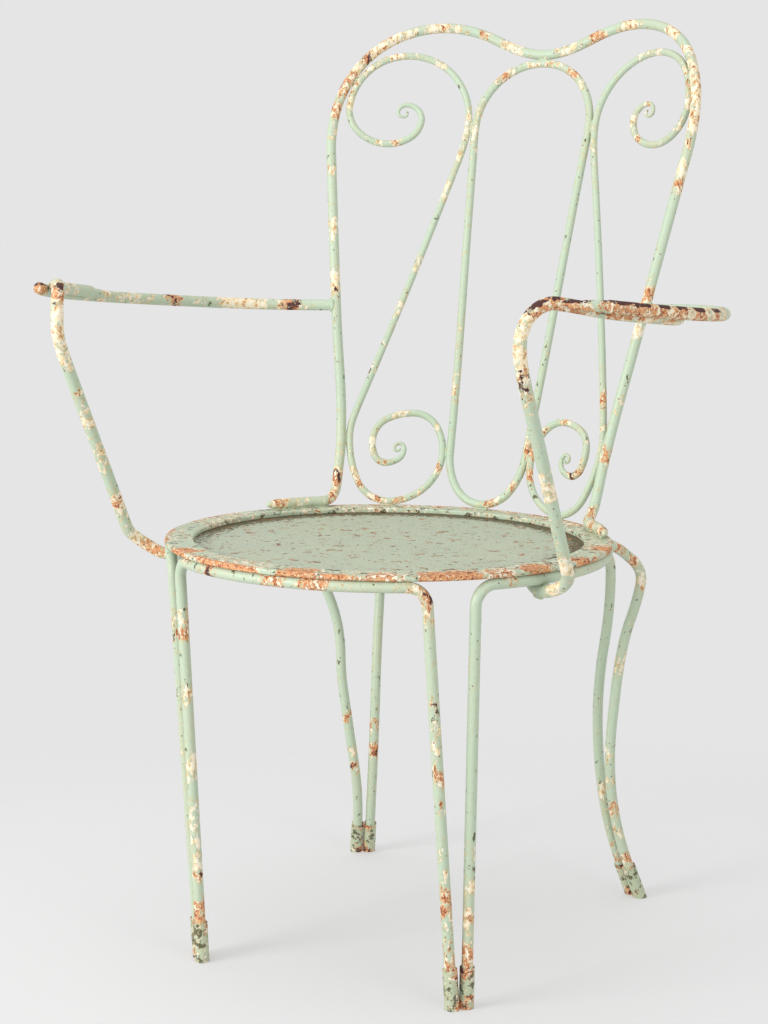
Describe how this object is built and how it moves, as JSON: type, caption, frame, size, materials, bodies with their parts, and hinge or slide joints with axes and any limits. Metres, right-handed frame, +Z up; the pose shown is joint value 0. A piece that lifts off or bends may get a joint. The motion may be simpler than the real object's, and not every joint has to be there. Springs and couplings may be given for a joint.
{
  "type": "garden armchair",
  "caption": "Garden armchair of bent and welded round bar: round seat, leaning scrollwork back, bowed armrests and splayed hairpin legs.",
  "frame": {"origin": "on the floor, under the middle of the whole chair's width and depth", "axes": "+Z up, the chair faces -Y, +X towards the sitter's left arm"},
  "size_m": [0.619, 0.5598, 0.8744],
  "materials": {
    "painted_seat_sheet": "worn greyish sage paint, dotted with rust",
    "painted_seat_rim": "worn sage paint, rusted along the near edge",
    "painted_foot_sleeves": "sage paint, grimy and rusted",
    "painted_arm_bars": "sage paint worn to dark bare metal on top",
    "painted_back_bars": "sage paint over cream, chipped",
    "painted_leg_bars": "sage paint over cream, chipped, rusting low down"
  },
  "bodies": {
    "root": {"seat_rim": "painted_seat_rim", "seat_panel": "painted_seat_sheet", "hairpin_front": "painted_leg_bars", "hairpin_left": "painted_leg_bars", "hairpin_right": "painted_leg_bars", "hairpin_back": "painted_leg_bars", "sleeve_left_front_a": "painted_foot_sleeves", "sleeve_right_front_a": "painted_foot_sleeves", "sleeve_left_front_b": "painted_foot_sleeves", "sleeve_right_front_b": "painted_foot_sleeves", "sleeve_left_back_a": "painted_foot_sleeves", "sleeve_right_back_a": "painted_foot_sleeves", "sleeve_left_back_b": "painted_foot_sleeves", "sleeve_right_back_b": "painted_foot_sleeves", "back_frame": "painted_back_bars", "back_loop": "painted_back_bars", "scroll_left": "painted_back_bars", "scroll_right": "painted_back_bars", "arm_bow_left": "painted_arm_bars", "arm_bow_right": "painted_arm_bars", "arm_support_left": "painted_arm_bars", "arm_support_right": "painted_arm_bars"}
  },
  "joints": []
}
